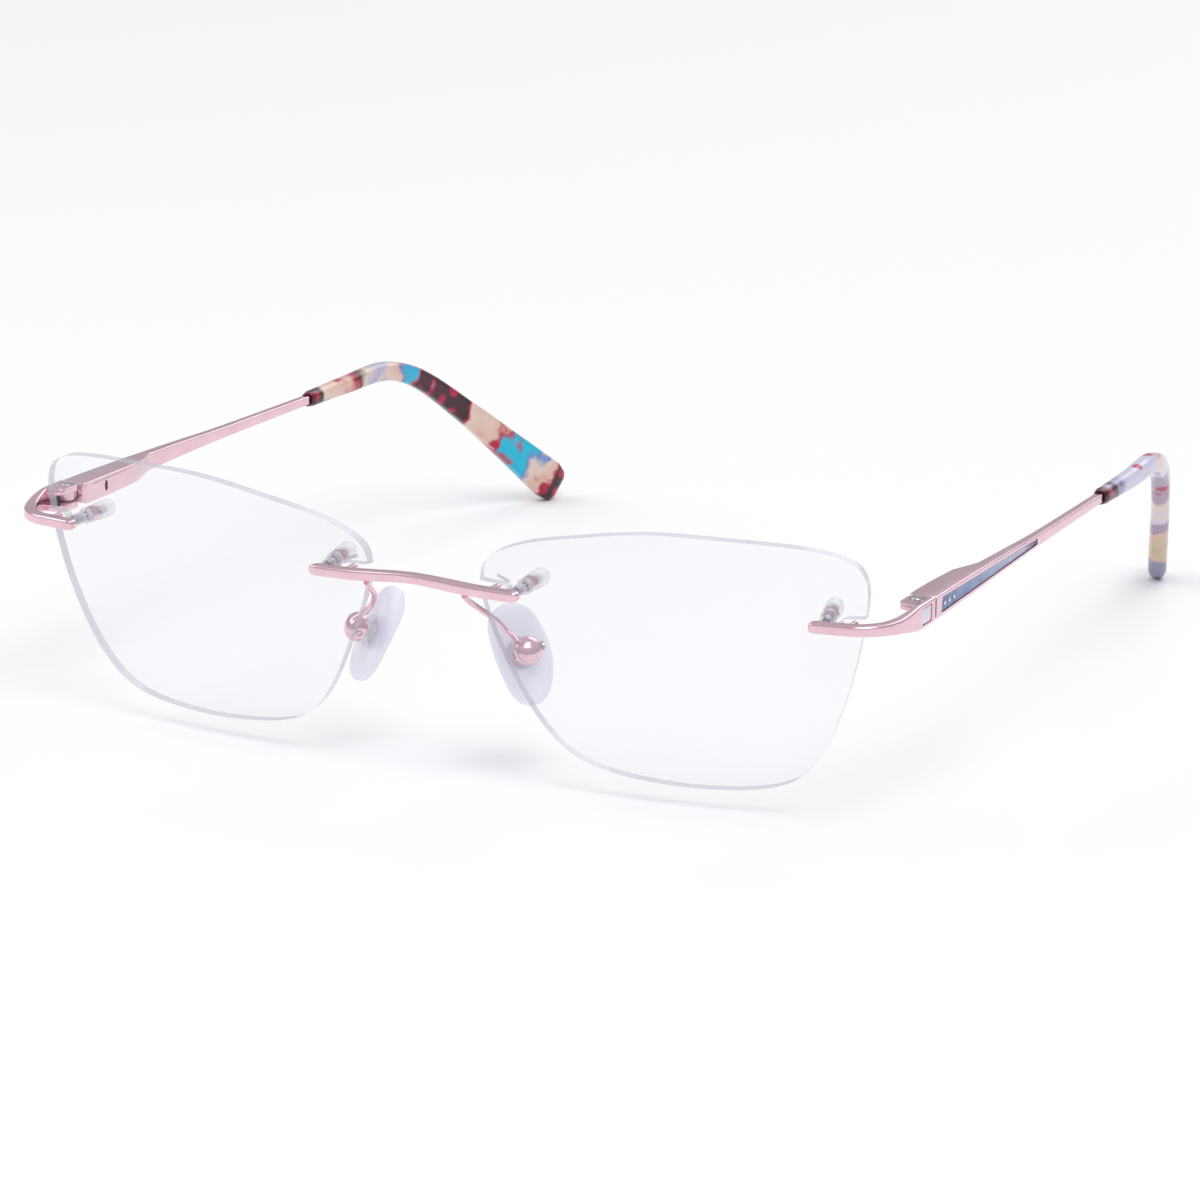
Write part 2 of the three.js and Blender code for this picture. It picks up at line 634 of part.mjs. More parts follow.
function makeSide(side) {
  const group = new THREE.Group();
  group.add(piece(`lens_${side}`, makeLens(), materials.clear));
  Object.entries(MOUNTS).forEach(([place, mount]) => group.add(makeMount(place, mount, side)));
  group.add(piece(`endpiece_${side}`, makeEndpiece(), materials.rose));
  group.add(piece(`endpiece_panel_${side}`, makePanel(), materials.pearl));
  group.add(piece(`hinge_screw_${side}`, makeHingeScrew(), materials.steel));
  group.add(piece(`hinge_knuckle_${side}`, makeKnuckle(), materials.rose));
  group.add(piece(`guide_rod_${side}`, makeGuideRod(), materials.steel));
  group.add(piece(`hinge_spring_${side}`, makeSpring(), materials.steel));
  group.add(piece(`temple_${side}`, makeTemple(), materials.rose));
  const plateTop = -INLAY.deep + INLAY.gap + INLAY.thick;
  group.add(piece(`temple_inlay_${side}`,
    inlayPlate(-INLAY.deep + INLAY.gap, plateTop, INLAY.gap), materials.enamel));
  for (let i = 0; i < STONE.count; i += 1) {
    group.add(piece(`stone_${i + 1}_${side}`, makeStone(i), materials.stone));
  }
  group.add(piece(`temple_tip_${side}`, makeTip(), materials.acetate));
  group.add(piece(`pad_arm_${side}`, makePadArm(), materials.rose));
  group.add(makePadGroup(side));
  return group;
}

const glasses = new THREE.Group();
glasses.add(piece("bridge", makeBridge(), materials.rose));
glasses.add(makeSide("left"));
const right = makeSide("right");
right.scale.x = -1;
glasses.add(right);
glasses.updateMatrixWorld(true);

const bounds = new THREE.Box3().setFromObject(glasses, true);
const middle = bounds.getCenter(new THREE.Vector3());
glasses.position.set(0, -middle.y, -bounds.min.z);
glasses.updateMatrixWorld(true);

export default glasses;
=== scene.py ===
"""Rimless eyeglasses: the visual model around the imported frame.

Shapes are drawn in millimetres from the middle of the lens bars, as on the CAD part, and
moved into the frame by the hinge joint. The +X side is drawn and mirrored for the other.
"""

import json
import math

import bmesh
import bpy
from mathutils import Euler, Matrix, Vector


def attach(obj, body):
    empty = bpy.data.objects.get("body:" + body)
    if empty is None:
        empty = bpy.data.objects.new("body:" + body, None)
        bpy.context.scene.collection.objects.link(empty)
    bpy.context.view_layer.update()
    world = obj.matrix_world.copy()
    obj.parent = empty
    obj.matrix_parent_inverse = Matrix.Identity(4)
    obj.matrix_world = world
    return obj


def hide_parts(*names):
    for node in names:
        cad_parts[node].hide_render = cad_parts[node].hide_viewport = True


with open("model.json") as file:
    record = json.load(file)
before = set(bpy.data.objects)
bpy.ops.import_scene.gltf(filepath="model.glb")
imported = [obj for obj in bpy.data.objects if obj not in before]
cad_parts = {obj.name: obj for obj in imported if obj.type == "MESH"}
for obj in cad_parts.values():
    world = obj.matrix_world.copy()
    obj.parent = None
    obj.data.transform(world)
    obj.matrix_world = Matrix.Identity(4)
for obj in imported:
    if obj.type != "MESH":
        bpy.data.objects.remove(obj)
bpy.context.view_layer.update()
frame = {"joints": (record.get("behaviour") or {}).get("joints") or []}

MM = 0.001
PAST = 9  # how far a cutter reaches past what it cuts
SIDES = {"left": 1, "right": -1}

# Places on the part, in millimetres from the middle of the lens bars.
HINGE = Vector((65.1, 12.6, 0.05))
LENS_RADIUS, LENS_THICK = 86.8, 1.7
LENS_WRAP, LENS_TILT = math.radians(7.1), math.radians(6.1)
LENS_CENTRE = Vector((37.1, -3.7, -0.8))
LENS_OUTLINE = [
    (25.7, 5.0), (24.2, 8.3), (18.7, 10.3), (8, 11.2), (-3, 11.2), (-13, 9.6),
    (-22.5, 7.0), (-27.6, 3.5), (-27.9, -1.6), (-24.2, -11.2), (-19.6, -19.3), (-14.6, -23.5),
    (-6, -25.2), (6, -25.3), (14.2, -23.7), (18.6, -19.6), (22.2, -11.7), (24.8, -2.2),
]
MOUNTS = {
    "nasal": dict(x=14.3, y=-4.35, turn=-3, peg=-3.4, reach=2.8, notch=(5, 12.2)),
    "temporal": dict(x=57.2, y=0.3, turn=12.5, peg=3.2, reach=3.0, notch=(59.4, 66)),
}
MOUNT_LIFT = 4
EDGE_LEAN = 0.55  # a lens facet leaning further than this from the face is its edge
HOLE = 0.8
NOTCH = 1.5
BAR_TALL, BAR_DEEP = 1.4, 1.8
BRIDGE_END, BRIDGE_Y, BRIDGE_ARCH = 15.7, -5.35, 0.7
BAR_SPOT, BAR_SLOPE = (56.5, -0.75), 0.17
EAR_RADIUS, EAR_INNER, EAR_OUTER = 1.5, 0.75, 1.65
BLOCK_X, BLOCK_WIDE, BLOCK_TALL, BLOCK_END = 66.68, 0.95, 3.36, 14.0
PANEL = dict(start=9.6, end=12.9, tall=2.4, deep=0.4, gap=0.1)
TEMPLE_FRONT, TEMPLE_OUTER, TEMPLE_LEAN = 14.35, 67.15, math.radians(1.75)
TEMPLE_END, HOUSING_END = 81, 28.5
CHANNEL, CHAMBER_END = 1.4, 29.2
INLAY = dict(start=1.9, end=39, tall=2.1, tip=(-0.85, 0), thick=0.22, deep=0.45, gap=0.1)
STONE = dict(radius=0.28, first=3.1, step=1.7, count=3)
ACCESS = dict(y=19.9, wide=0.4, long=0.8)
TIP_PATH = [
    (64.5, 80.8, -0.75), (64.3, 93, -0.9), (63.6, 104, -1.1), (62.0, 112, -3.8),
    (59.0, 121.5, -10.6), (55.3, 131.5, -19), (51.9, 140.6, -26.9),
]

# Lens mount hardware: radii, and reach along each stud from the bar.
STUD = dict(radius=0.55, start=0.1, end=7.2, pitch=0.35, depth=0.07, point=0.12)
SLEEVE = dict(inner=0.72, outer=1.15, start=3.15, end=3.85, bevel=0.07)
NUT = dict(inner=0.7, shoulder=0.95, outer=1.12, start=4.0, end=5.15, slope=0.1, bevel=0.07)
CAP = dict(bore=0.7, outer=1.28, start=5.6, dome=7.55, nose=1.35)

# Spring hinge: the pin on the hinge axis, and what slides in the temple.
PIN = dict(radius=0.45, hole=0.53, head=0.9, recess=1.0, sink=0.25, tall=0.37, slot=0.12)
KNUCKLE = dict(radius=1.0, tall=1.2, bevel=0.07, tongue=5.6)
ROD = dict(radius=0.3, start=18.3, head=0.58, head_start=28.1, end=28.5, bevel=0.08)
SPRING = dict(radius=0.48, wire=0.1, start=22.9, end=27.9, turns=7)
NECK = dict(start=21.3, end=22, half=0.45)

PAD_BOX = Vector((13.1, 2.5, -9.8))
PAD_TURN = Euler([math.radians(a) for a in (15, -22, -48)], "XYZ")
PAD_OFFSET, PAD_THICK = -3.2, 2.2
PAD_CUP = dict(radius=2.0, dome=1.4, rim=-0.9, inner=1.6, bore=0.42)
PAD_SCREW = dict(radius=0.32, start=-1.95, head=0.6, head_start=2.1, end=2.5, slot=0.09)
PAD_CORE = dict(radius=2.1, half=0.4, bevel=0.1, gap=0.25)
PAD_OUTLINE = [
    (-3.5, 3.4), (-2.6, 6.0), (0, 7.1), (2.9, 5.6), (4.0, 1.5),
    (3.6, -2.6), (1.6, -6.3), (-1.0, -7.2), (-3.0, -5.6), (-3.7, -1.2),
]
ARM_PATH = [
    (7.4, -4.9, -1.0), (7.5, -3.6, -2.1), (8.1, -1.4, -3.7),
    (9.5, 0.5, -5.6), (11.0, 1.1, -7.2), (12.5, 0.7, -8.3),
]


def hinge_place():
    """Where the left fold's axis stands in the frame, in metres."""
    for joint in frame["joints"]:
        if joint["name"] == "left_fold":
            return Vector(joint["pos_m"])
    raise ValueError("no left_fold joint")


SHIFT = hinge_place() - HINGE * MM


# ---- drawing helpers

def smooth(points, per=6, closed=False):
    """Points on a smooth curve through the given ones; each may carry extra numbers."""
    points = [tuple(p) for p in points]
    count = len(points)
    if closed:
        points = [points[-2], points[-1], *points, points[0], points[1], points[2]]
    lengths = [0.0]
    for a, b in zip(points, points[1:]):
        step = math.dist(a[:3], b[:3])
        lengths.append(lengths[-1] + max(step, 1e-6))
    last = len(points) - 1

    def slope(i, axis):
        low, high = max(i - 1, 0), min(i + 1, last)
        return (points[high][axis] - points[low][axis]) / (lengths[high] - lengths[low])

    first, stop = (2, 2 + count) if closed else (0, last)
    result = []
    for i in range(first, stop):
        span = lengths[i + 1] - lengths[i]
        for k in range(per):
            t = k / per
            h = (2*t**3 - 3*t**2 + 1, t**3 - 2*t**2 + t, -2*t**3 + 3*t**2, t**3 - t**2)
            result.append(tuple(
                h[0] * points[i][a] + h[1] * span * slope(i, a)
                + h[2] * points[i + 1][a] + h[3] * span * slope(i + 1, a)
                for a in range(len(points[i]))
            ))
    if not closed:
        result.append(points[-1])
    return result


def rounded_section(wide, tall, radius, arc=4):
    """Corners of an oblong with round corners, anticlockwise."""
    radius = min(radius, wide * 0.499, tall * 0.499)
    corners = []
    for quarter in range(4):
        cx = (wide / 2 - radius) * (1 if quarter in (0, 3) else -1)
        cy = (tall / 2 - radius) * (1 if quarter in (0, 1) else -1)
        for k in range(arc + 1):
            angle = (quarter + k / arc) * math.pi / 2
            corners.append((cx + radius * math.cos(angle), cy + radius * math.sin(angle)))
    return corners


def skin(rings, closed_ends=True):
    """A closed surface through rings of points with equal counts."""
    bm = bmesh.new()
    rows = [[bm.verts.new(p) for p in ring] for ring in rings]
    count = len(rows[0])
    for a, b in zip(rows, rows[1:]):
        for k in range(count):
            bm.faces.new((a[k], a[(k + 1) % count], b[(k + 1) % count], b[k]))
    if closed_ends:
        bm.faces.new(reversed(rows[0]))
        bm.faces.new(rows[-1])
    return bm


def loft(stations, radius, direction=None, up=(0, 0, 1), arc=4):
    """A bar through (x, y, z, wide, tall) stations."""
    rings = []
    last = len(stations) - 1
    for i, (x, y, z, wide, tall) in enumerate(stations):
        before = Vector(stations[max(i - 1, 0)][:3])
        after = Vector(stations[min(i + 1, last)][:3])
        along = Vector(direction) if direction else (after - before).normalized()
        side = along.cross(Vector(up)).normalized()
        rise = side.cross(along).normalized()
        middle = Vector((x, y, z))
        rings.append([
            middle + side * a + rise * b for a, b in rounded_section(wide, tall, radius, arc)
        ])
    return skin(rings)


def lathe(profile, sides=40):
    """A solid of revolution about local Y from (radius, y) corners, closed on the axis."""
    bm = bmesh.new()
    rows = []
    for r, y in profile:
        if r < 1e-6:
            rows.append([bm.verts.new((0, y, 0))] * sides)
            continue
        rows.append([
            bm.verts.new((r * math.cos(2 * math.pi * k / sides), y,
                          r * math.sin(2 * math.pi * k / sides)))
            for k in range(sides)
        ])
    pairs = list(zip(rows, rows[1:]))
    if profile[0][0] > 1e-6:
        pairs.append((rows[-1], rows[0]))
    for a, b in pairs:
        for k in range(sides):
            j = (k + 1) % sides
            corners = []
            for vert in (a[k], a[j], b[j], b[k]):
                if vert not in corners:
                    corners.append(vert)
            if len(corners) > 2:
                bm.faces.new(corners)
    return bm


def block(x, y, z):
    """A box between (low, high) pairs."""
    bm = bmesh.new()
    bmesh.ops.create_cube(bm, size=1)
    size = Vector((x[1] - x[0], y[1] - y[0], z[1] - z[0]))
    middle = Vector((x[0] + x[1], y[0] + y[1], z[0] + z[1])) / 2
    bmesh.ops.transform(bm, matrix=Matrix.Translation(middle) @ Matrix.Diagonal((*size, 1)),
                        verts=bm.verts)
    return bm


def prism(outline, matrix, low, high):
    """An outline of (a, b) corners pushed from low to high along local Z, then placed."""
    rings = [[matrix @ Vector((a, b, c)) for a, b in outline] for c in (low, high)]
    return skin(rings)


def moved(bm, matrix):
    bmesh.ops.transform(bm, matrix=matrix, verts=bm.verts)
    return bm


def softened(bm, width, segments=2, angle=40):
    """Bevels the sharp edges of a shape."""
    sharp = [e for e in bm.edges
             if len(e.link_faces) == 2 and e.calc_face_angle(0) > math.radians(angle)]
    bmesh.ops.bevel(bm, geom=sharp, offset=width, segments=segments, profile=0.5,
                    affect="EDGES", clamp_overlap=True)
    return bm


def to_object(bm, name):
    bmesh.ops.recalc_face_normals(bm, faces=bm.faces)
    mesh = bpy.data.meshes.new(name)
    bm.to_mesh(mesh)
    bm.free()
    thing = bpy.data.objects.new(name, mesh)
    bpy.context.scene.collection.objects.link(thing)
    return thing


def boolean(target, tool, operation):
    """Joins or cuts with another shape and drops the tool."""
    modifier = target.modifiers.new("cut", "BOOLEAN")
    modifier.operation = operation
    modifier.solver = "EXACT"
    modifier.object = tool
    bpy.context.view_layer.update()
    done = bpy.data.meshes.new_from_object(
        target.evaluated_get(bpy.context.evaluated_depsgraph_get()))
    target.modifiers.clear()
    target.data = done
    bpy.data.objects.remove(tool, do_unlink=True)
    return target


def assembled(name, joined, cut=()):
    """One object: the first shape, joined with the rest and cut by the others."""
    target = to_object(joined[0], name)
    for bm in joined[1:]:
        boolean(target, to_object(bm, "tool"), "UNION")
    for bm in cut:
        boolean(target, to_object(bm, "tool"), "DIFFERENCE")
    return target


def finish_piece(thing, side, body, node, material, sharp=35):
    """Moves a drawn piece into the frame, mirrors it if needed, attaches it to its body and hides
    the CAD part it replaces.
    """
    sign = SIDES[side]
    mesh = thing.data
    mesh.transform(Matrix.Translation(SHIFT) @ Matrix.Diagonal((sign * MM, MM, MM, 1)))
    if sign < 0:
        mesh.flip_normals()
    bm = bmesh.new()
    bm.from_mesh(mesh)
    bmesh.ops.remove_doubles(bm, verts=bm.verts, dist=1e-7)
    bm.to_mesh(mesh)
    bm.free()
    mesh.shade_smooth()
    mesh.set_sharp_from_angle(angle=math.radians(sharp))
    mesh.materials.clear()
    for one in material if isinstance(material, list) else [material]:
        mesh.materials.append(one)
    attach(thing, body)
    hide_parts(node)
    return thing


# ---- materials

def principled(name, **values):
    """A new material with its node tree and its shader, with these sockets set."""
    material = bpy.data.materials.new(name)
    material.use_nodes = True
    shader = material.node_tree.nodes["Principled BSDF"]
    for key, value in values.items():
        shader.inputs[key].default_value = value
    return material, material.node_tree, shader


def noise(tree, scale, detail=3.0, offset=(0, 0, 0)):
    coords = tree.nodes.new("ShaderNodeTexCoord")
    mapping = tree.nodes.new("ShaderNodeMapping")
    mapping.inputs["Location"].default_value = offset
    texture = tree.nodes.new("ShaderNodeTexNoise")
    texture.inputs["Scale"].default_value = scale
    texture.inputs["Detail"].default_value = detail
    tree.links.new(coords.outputs["Object"], mapping.inputs["Vector"])
    tree.links.new(mapping.outputs["Vector"], texture.inputs["Vector"])
    return texture


def ramp(tree, source, stops):
    """A colour ramp with (place, colour) stops."""
    node = tree.nodes.new("ShaderNodeValToRGB")
    while len(node.color_ramp.elements) < len(stops):
        node.color_ramp.elements.new(0.5)
    for element, (place, colour) in zip(node.color_ramp.elements, stops):
        element.position = place
        element.color = (*colour, 1)
    tree.links.new(source, node.inputs["Fac"])
    return node


def ranged(tree, source, low, high):
    """A value from 0 to 1 spread between low and high."""
    node = tree.nodes.new("ShaderNodeMapRange")
    node.inputs["To Min"].default_value = low
    node.inputs["To Max"].default_value = high
    tree.links.new(source, node.inputs["Value"])
    return node.outputs["Result"]


def bumped(tree, shader, source, strength, distance):
    node = tree.nodes.new("ShaderNodeBump")
    node.inputs["Strength"].default_value = strength
    node.inputs["Distance"].default_value = distance
    tree.links.new(source, node.inputs["Height"])
    tree.links.new(node.outputs["Normal"], shader.inputs["Normal"])


def rose_metal():
    material, tree, shader = principled("rose_metal", Metallic=1.0, Roughness=0.2)
    cloud = noise(tree, 260, 2)
    colour = ramp(tree, cloud.outputs["Fac"],
                  [(0.3, (0.79, 0.53, 0.60)), (0.7, (0.85, 0.59, 0.665))])
    tree.links.new(colour.outputs["Color"], shader.inputs["Base Color"])
    grain = noise(tree, 3200, 4)
    tree.links.new(ranged(tree, grain.outputs["Fac"], 0.13, 0.27), shader.inputs["Roughness"])
    bumped(tree, shader, grain.outputs["Fac"], 0.06, 0.00002)
    return material


def steel():
    material, tree, shader = principled("bright_steel", Metallic=1.0, Roughness=0.28)
    grain = noise(tree, 4200, 3)
    colour = ramp(tree, grain.outputs["Fac"],
                  [(0.3, (0.52, 0.51, 0.54)), (0.7, (0.68, 0.67, 0.70))])
    tree.links.new(colour.outputs["Color"], shader.inputs["Base Color"])
    tree.links.new(ranged(tree, grain.outputs["Fac"], 0.2, 0.36), shader.inputs["Roughness"])
    return material


def see_through(name, low, high, alpha, roughness, scale):
    """A pale clear plastic whose tint drifts a little across the piece."""
    material, tree, shader = principled(name, Roughness=roughness, IOR=1.5)
    cloud = noise(tree, scale, 2)
    colour = ramp(tree, cloud.outputs["Fac"], [(0.3, low), (0.7, high)])
    tree.links.new(colour.outputs["Color"], shader.inputs["Base Color"])
    tree.links.new(ranged(tree, cloud.outputs["Fac"], *alpha), shader.inputs["Alpha"])
    shader.inputs["Coat Weight"].default_value = 0.6
    shader.inputs["Coat Roughness"].default_value = 0.05
    return material


def enamel():
    material, tree, shader = principled("blue_enamel", Roughness=0.22)
    cloud = noise(tree, 420, 5)
    colour = ramp(tree, cloud.outputs["Fac"],
                  [(0.3, (0.05, 0.095, 0.27)), (0.5, (0.095, 0.175, 0.4)),
                   (0.75, (0.15, 0.26, 0.5))])
    tree.links.new(colour.outputs["Color"], shader.inputs["Base Color"])
    shader.inputs["Coat Weight"].default_value = 0.8
    shader.inputs["Coat Roughness"].default_value = 0.06
    flakes = noise(tree, 5200, 2)
    bumped(tree, shader, flakes.outputs["Fac"], 0.12, 0.00003)
    return material


def pearl():
    material, tree, shader = principled("pearl", Roughness=0.25, Metallic=0.25)
    cloud = noise(tree, 700, 3)
    colour = ramp(tree, cloud.outputs["Fac"],
                  [(0.25, (0.56, 0.52, 0.62)), (0.55, (0.70, 0.66, 0.74)),
                   (0.8, (0.78, 0.80, 0.86))])
    tree.links.new(colour.outputs["Color"], shader.inputs["Base Color"])
    shader.inputs["Coat Weight"].default_value = 0.8
    shader.inputs["Coat Roughness"].default_value = 0.08
    return material


def stone():
    material, tree, shader = principled("stone", Roughness=0.06, IOR=1.8)
    cloud = noise(tree, 2600, 1)
    colour = ramp(tree, cloud.outputs["Fac"],
                  [(0.3, (0.82, 0.62, 0.64)), (0.55, (0.92, 0.86, 0.86)),
                   (0.8, (0.72, 0.76, 0.92))])
    tree.links.new(colour.outputs["Color"], shader.inputs["Base Color"])
    return material


# Acetate colours, and their (place, colour) order from the front of each tip to its end.
BURGUNDY, DARK, CRIMSON = (0.065, 0.014, 0.026), (0.035, 0.006, 0.013), (0.42, 0.01, 0.05)
CREAM, PEACH, OLIVE = (0.74, 0.60, 0.50), (0.72, 0.46, 0.38), (0.52, 0.47, 0.30)
CYAN, BLUE, LILAC = (0.0, 0.48, 0.68), (0.12, 0.24, 0.55), (0.42, 0.40, 0.62)
PALE, MAUVE, SLATE = (0.60, 0.58, 0.74), (0.36, 0.27, 0.38), (0.28, 0.27, 0.40)
MOTTLE = {
    "right": [
        (0.0, DARK), (0.025, BURGUNDY), (0.06, CREAM), (0.13, PEACH), (0.17, CRIMSON),
        (0.2, BURGUNDY), (0.25, CREAM), (0.3, LILAC), (0.335, CREAM), (0.37, PEACH),
        (0.405, BLUE), (0.44, CYAN), (0.465, CRIMSON), (0.475, BURGUNDY), (0.645, DARK),
        (0.665, CRIMSON), (0.69, CREAM), (0.76, PEACH), (0.775, CRIMSON), (0.8, CYAN),
        (0.865, CYAN), (0.88, BLUE), (0.9, CREAM), (0.935, PEACH), (0.95, CRIMSON),
        (0.96, BURGUNDY), (1.0, DARK),
    ],
    "left": [
        (0.0, DARK), (0.05, BURGUNDY), (0.08, LILAC), (0.13, PALE), (0.3, PALE), (0.34, PEACH),
        (0.38, PALE), (0.46, PALE), (0.5, MAUVE), (0.58, MAUVE), (0.61, CREAM), (0.68, PALE),
        (0.71, MAUVE), (0.75, MAUVE), (0.77, PEACH), (0.83, OLIVE), (0.87, PEACH), (0.9, SLATE),
        (1.0, SLATE),
    ],
}


def mix(tree, factor, first, second):
    """The first colour, turning into a fixed second one as factor rises."""
    node = tree.nodes.new("ShaderNodeMix")
    node.data_type = "RGBA"
    tree.links.new(factor, node.inputs["Factor"])
    tree.links.new(first, node.inputs["A"])
    node.inputs["B"].default_value = (*second, 1)
    return node.outputs["Result"]


def maths(tree, operation, first, second):
    node = tree.nodes.new("ShaderNodeMath")
    node.operation = operation
    for socket, value in zip(node.inputs, (first, second)):
        if isinstance(value, (int, float)):
            socket.default_value = value
        else:
            tree.links.new(value, socket)
    return node.outputs["Value"]


def acetate(side):
    """Mottled acetate: bands of colour along the tip, broken up, with small round spots."""
    material, tree, shader = principled(f"acetate_{side}", Roughness=0.12)
    offset = (0.3 * SIDES[side], 0, 0)
    along = tree.nodes.new("ShaderNodeAttribute")
    along.attribute_name = "along"
    large = noise(tree, 170, 1.5, offset)
    small = noise(tree, 620, 2, offset)
    drift = maths(tree, "MULTIPLY", maths(tree, "SUBTRACT", large.outputs["Fac"], 0.5), 0.26)
    ripple = maths(tree, "MULTIPLY", maths(tree, "SUBTRACT", small.outputs["Fac"], 0.5), 0.05)
    place = maths(tree, "ADD", maths(tree, "ADD", along.outputs["Fac"], drift), ripple)
    bands = ramp(tree, place, MOTTLE[side]).outputs["Color"]
    cells = tree.nodes.new("ShaderNodeTexVoronoi")
    cells.inputs["Scale"].default_value = 240
    coords = tree.nodes.new("ShaderNodeTexCoord")
    tree.links.new(coords.outputs["Object"], cells.inputs["Vector"])
    spots = ramp(tree, cells.outputs["Distance"],
                 [(0.0, (1, 1, 1)), (0.24, (1, 1, 1)), (0.32, (0, 0, 0))])
    patchy = noise(tree, 90, 1, offset)
    where = ramp(tree, patchy.outputs["Fac"], [(0.52, (0, 0, 0)), (0.58, (1, 1, 1))])
    factor = maths(tree, "MULTIPLY", spots.outputs["Color"], where.outputs["Color"])
    colour = mix(tree, factor, bands, CRIMSON)
    tree.links.new(colour, shader.inputs["Base Color"])
    tree.links.new(ranged(tree, small.outputs["Fac"], 0.1, 0.2), shader.inputs["Roughness"])
    shader.inputs["Specular IOR Level"].default_value = 0.3
    shader.inputs["Coat Weight"].default_value = 0.25
    shader.inputs["Coat Roughness"].default_value = 0.04
    return material


ROSE = rose_metal()
STEEL = steel()
LENS_FACE = see_through(
    "lens_face", (0.62, 0.62, 0.72), (0.72, 0.72, 0.8), (0.05, 0.08), 0.02, 40)
# The lens edge faces get a grey, half-opaque tint: painted shade standing in for the internal
# reflection that greys the edge of a clear lens.
LENS_EDGE_SHADE = see_through(
    "lens_edge_painted_shade", (0.42, 0.43, 0.5), (0.6, 0.6, 0.68), (0.5, 0.7), 0.25, 90)
CLEAR = see_through(
    "clear_plastic", (0.78, 0.78, 0.82), (0.88, 0.88, 0.92), (0.34, 0.46), 0.08, 700)
SILICONE = see_through(
    "silicone", (0.78, 0.76, 0.9), (0.87, 0.85, 0.96), (0.42, 0.55), 0.3, 160)
ENAMEL = enamel()
PEARL = pearl()
STONE_LOOK = stone()


# ---- lenses

def lens_point(across, up, depth):
    """A point of the curved lens, depth behind its front face."""
    sag = LENS_RADIUS - math.sqrt(LENS_RADIUS**2 - across**2 - up**2)
    point = Vector((across, sag + depth, up))
    point = Matrix.Rotation(LENS_TILT, 3, "X") @ point
    return Matrix.Rotation(LENS_WRAP, 3, "Z") @ point + LENS_CENTRE


def mount_matrix(mount):
    """Stands a stack drawn along Y on its lens hole."""
    turn = Euler((math.radians(MOUNT_LIFT), 0, math.radians(mount["turn"])), "XYZ")
    return Matrix.Translation((mount["x"], mount["y"], 0)) @ turn.to_matrix().to_4x4()


def make_lens(side):
    outline = smooth([(a, b, 0) for a, b in LENS_OUTLINE], per=9, closed=True)
    middle = Vector((0, -6, 0))
    bevel = 0.16
    rings = 14
    levels = [(k / rings, 0, 0) for k in range(1, rings)]
    levels += [(1, bevel, 0), (1, 0, bevel), (1, 0, LENS_THICK - bevel), (1, bevel, LENS_THICK)]
    levels += [(k / rings, 0, LENS_THICK) for k in range(rings - 1, 0, -1)]
    rows = []
    for reach, inset, depth in levels:
        row = []
        for a, b, _ in outline:
            arm = Vector((a, b, 0)) - middle
            spot = middle + arm.normalized() * (arm.length * reach - inset)
            row.append(lens_point(spot.x, spot.y, depth))
        rows.append(row)
    bm = skin(rows, closed_ends=False)
    bm.verts.ensure_lookup_table()
    count = len(outline)
    for depth, start in ((0, 0), (LENS_THICK, len(bm.verts) - count)):
        hub = bm.verts.new(lens_point(middle.x, middle.y, depth))
        bm.verts.ensure_lookup_table()
        for k in range(count):
            corners = (bm.verts[start + k], bm.verts[start + (k + 1) % count], hub)
            bm.faces.new(corners)
    cuts = []
    for mount in MOUNTS.values():
        bore = lathe([(0, -2), (HOLE, -2), (HOLE, PAST), (0, PAST)], 36)
        cuts.append(moved(bore, mount_matrix(mount)))
        low, high = mount["notch"]
        inner = high if high < LENS_CENTRE.x else low
        slot = block((low, high), (-PAST, PAST), (-NOTCH / 2, NOTCH / 2))
        round_end = lathe([(0, -PAST), (NOTCH / 2, -PAST), (NOTCH / 2, PAST), (0, PAST)], 32)
        cuts += [slot, moved(round_end, Matrix.Translation((inner, 0, 0)))]
    lens = assembled(f"lens_{side}_clear", [bm], cuts)
    facing = (lens_point(0, 0, 1) - lens_point(0, 0, 0)).normalized()
    edge = [abs(p.normal.dot(facing)) < EDGE_LEAN for p in lens.data.polygons]
    finish_piece(lens, side, "front", f"lens_{side}", [LENS_FACE, LENS_EDGE_SHADE])
    # Edge facets take the second material, the grey painted shade of the lens edge.
    for polygon, is_edge in zip(lens.data.polygons, edge):
        polygon.material_index = int(is_edge)


# ---- lens mounts

def thread_profile():
    """A stud's outline, with a ring for each turn of the thread."""
    radius, y, end = STUD["radius"], STUD["start"], STUD["end"]
    profile = [(0, y), (radius, y)]
    valley = radius - STUD["depth"]
    plain = 0.1
    while y + STUD["pitch"] < end - plain:
        profile += [(radius, y + STUD["pitch"] * 0.25), (valley, y + STUD["pitch"] * 0.75)]
        y += STUD["pitch"]
    return profile + [(valley, end - plain), (valley - STUD["point"], end), (0, end)]


def sleeve_profile():
    inner, outer, bevel = SLEEVE["inner"], SLEEVE["outer"], SLEEVE["bevel"]
    start, end = SLEEVE["start"], SLEEVE["end"]
    return [(inner, start), (outer - bevel, start), (outer, start + bevel),
            (outer, end - bevel), (outer - bevel, end), (inner, end)]


def nut_profile():
    inner, shoulder, outer = NUT["inner"], NUT["shoulder"], NUT["outer"]
    start, end, slope = NUT["start"], NUT["end"], NUT["slope"]
    return [(inner, start + 0.08), (shoulder, start), (outer, start + slope),
            (outer, end - slope), (shoulder, end), (inner, end - 0.08)]


def cap_profile():
    bore, outer, start, dome = CAP["bore"], CAP["outer"], CAP["start"], CAP["dome"]
    angles = [k * math.pi / 20 for k in range(1, 10)]
    nose = [(outer * math.cos(a), dome + CAP["nose"] * math.sin(a)) for a in angles]
    return [(0, dome), (bore - 0.15, dome - 0.05), (bore, dome - 0.25), (bore, start),
            (outer - 0.12, start), (outer - 0.03, start + 0.06), (outer, start + 0.2),
            (outer, dome - 0.15), *nose, (0, dome + CAP["nose"])]


